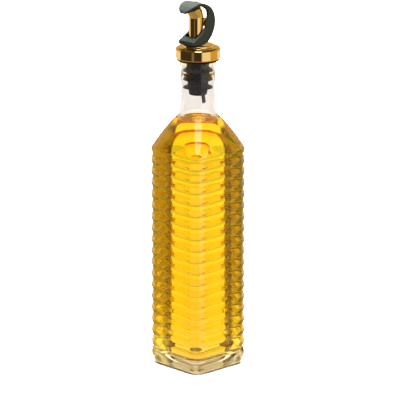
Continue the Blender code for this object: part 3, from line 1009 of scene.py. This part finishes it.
def make_hinge_lug(look):
    """The hinge lug behind the column, with its two studs."""
    lug_piece = link("hinge_lug", hinge_bar(LUG_RADIUS, LUG_HALF, 64), look, 40)
    web = bmesh.new()
    web_width = 2 * LUG_HALF - 2 * MM
    web_length = PIVOT_Y - COLUMN_Y - 5 * MM
    web_height = 2 * LUG_RADIUS - 0.8 * MM
    web_place = Matrix.Translation((0, PIVOT_Y - web_length / 2, PIVOT_Z))
    web_size = Matrix.Diagonal((web_width, web_length, web_height, 1.0))
    bmesh.ops.create_cube(web, size=1.0, matrix=web_place @ web_size)
    cut(lug_piece, web, "UNION")
    cut(lug_piece, hinge_bar(TRUNNION_RADIUS, TRUNNION_HALF, 40), "UNION")
    resharpen(lug_piece, 35)
    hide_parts("spout")
    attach(lug_piece, "cruet")


# Flip lever


def spline(rows, steps):
    """Rows passed through by a smooth curve, with the given steps between each two."""
    padded = [rows[0]] + list(rows) + [rows[-1]]
    result = []
    for a, b, c, d in zip(padded, padded[1:], padded[2:], padded[3:]):
        for k in range(steps):
            t = k / steps
            row = []
            for p, q, r, s in zip(a, b, c, d):
                square = (2 * p - 5 * q + 4 * r - s) * t**2
                cubic = (3 * q - p - 3 * r + s) * t**3
                row.append(0.5 * (2 * q + (r - p) * t + square + cubic))
            result.append(tuple(row))
    result.append(tuple(rows[-1]))
    return result


def lever_half_width(y, z):
    """The cap's front end is round seen from above; the rest keeps the full width."""
    past = -LEVER_HALF - y
    if z < PIVOT_Z or past <= 0:
        return LEVER_HALF
    return sqrt(max(LEVER_HALF**2 - past**2, CAP_END_HALF**2))


def lever_section(outer_y, outer_z, inner_y, inner_z):
    """A rounded rectangle across the lever between its outer and its inner edge."""
    thick = hypot(outer_y - inner_y, outer_z - inner_z)
    ny, nz = (outer_y - inner_y) / thick, (outer_z - inner_z) / thick
    cy, cz = (outer_y + inner_y) / 2, (outer_z + inner_z) / 2
    half_width = lever_half_width(cy, cz)
    edge = min(LEVER_EDGE, thick * 0.42)
    ring = []
    for sx, sn, start in ((1, 1, 0), (-1, 1, 1), (-1, -1, 2), (1, -1, 3)):
        for k in range(6):
            angle = (start + k / 5) * pi / 2
            x = sx * (half_width - edge) + edge * cos(angle)
            n = sn * (thick / 2 - edge) + edge * sin(angle)
            ring.append(Vector((x, cy + n * ny, cz + n * nz)))
    return ring


def side_plate(outline, half_width):
    """A prism across X whose side outline is (y, z) points."""
    bm = bmesh.new()
    face = bm.faces.new([bm.verts.new((-half_width, y, z)) for y, z in outline])
    extruded = bmesh.ops.extrude_face_region(bm, geom=[face])["geom"]
    moved = [item for item in extruded if isinstance(item, bmesh.types.BMVert)]
    bmesh.ops.translate(bm, verts=moved, vec=(2 * half_width, 0, 0))
    bmesh.ops.recalc_face_normals(bm, faces=bm.faces)
    return bm


def make_lever(look):
    rows = [tuple(value * MM for value in row) for row in LEVER_STATIONS]
    sections = [lever_section(*row) for row in spline(rows, 8)]
    lever = link("flip_lever_shell", swept(sections), look)
    slot = (
        (SLOT_FRONT_Y, SLOT_LOW_Z),
        (SLOT_BACK_Y, SLOT_LOW_Z),
        (SLOT_BACK_Y, SLOT_TOP_Z),
        (SLOT_BEND_Y, SLOT_TOP_Z),
        (SLOT_FRONT_Y, SLOT_BEND_Z),
    )
    cut(lever, side_plate(slot, SLOT_HALF))
    # The pad over the nozzle's mouth
    middle_y = (LIP_FRONT_Y + 0.2 * MM) / 2
    middle = Vector((0, middle_y, lip_height(middle_y)))
    normal = Vector((0, -sin(MOUTH_TILT), cos(MOUTH_TILT)))
    pad_low = middle + normal * PAD_CLEARANCE
    cut(lever, cylinder(PAD_RADIUS, pad_low, middle + normal * PAD_HEIGHT, 64), "UNION")
    # The bearings of the studs, and the dimple in the cap's top
    cut(lever, hinge_bar(TRUNNION_RADIUS + GAP, TRUNNION_HALF + GAP, 40))
    up = Vector((0, 0, 1))
    dimple_low = DIMPLE_TOP - up * DIMPLE_DEPTH
    cut(lever, cylinder(DIMPLE_RADIUS, dimple_low, DIMPLE_TOP + up * 3 * MM, 48))
    moulded(lever, SKIN_VOXEL)
    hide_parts("flip_lever")
    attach(lever, "lever")


def main():
    make_camera()
    make_studio()
    group_noise_bump()
    make_bottle(glass_material())
    make_oil(oil_material())
    rubber = material("black rubber", RUBBER_COLOR, 0.55, RUBBER_RELIEF, 0.08, specular=0.3)
    make_stopper(rubber)
    make_vent_tube(rubber)
    gold = material("gold plate", GOLD_COLOR, 0.06, GOLD_RELIEF, 0.03, metallic=1.0)
    make_collar(gold)
    make_spout(gold)
    make_hinge_lug(gold)
    plastic = material(
        "dark green plastic", PLASTIC_COLOR, 0.42, PLASTIC_RELIEF, 0.06, specular=0.2
    )
    make_lever(plastic)


main()
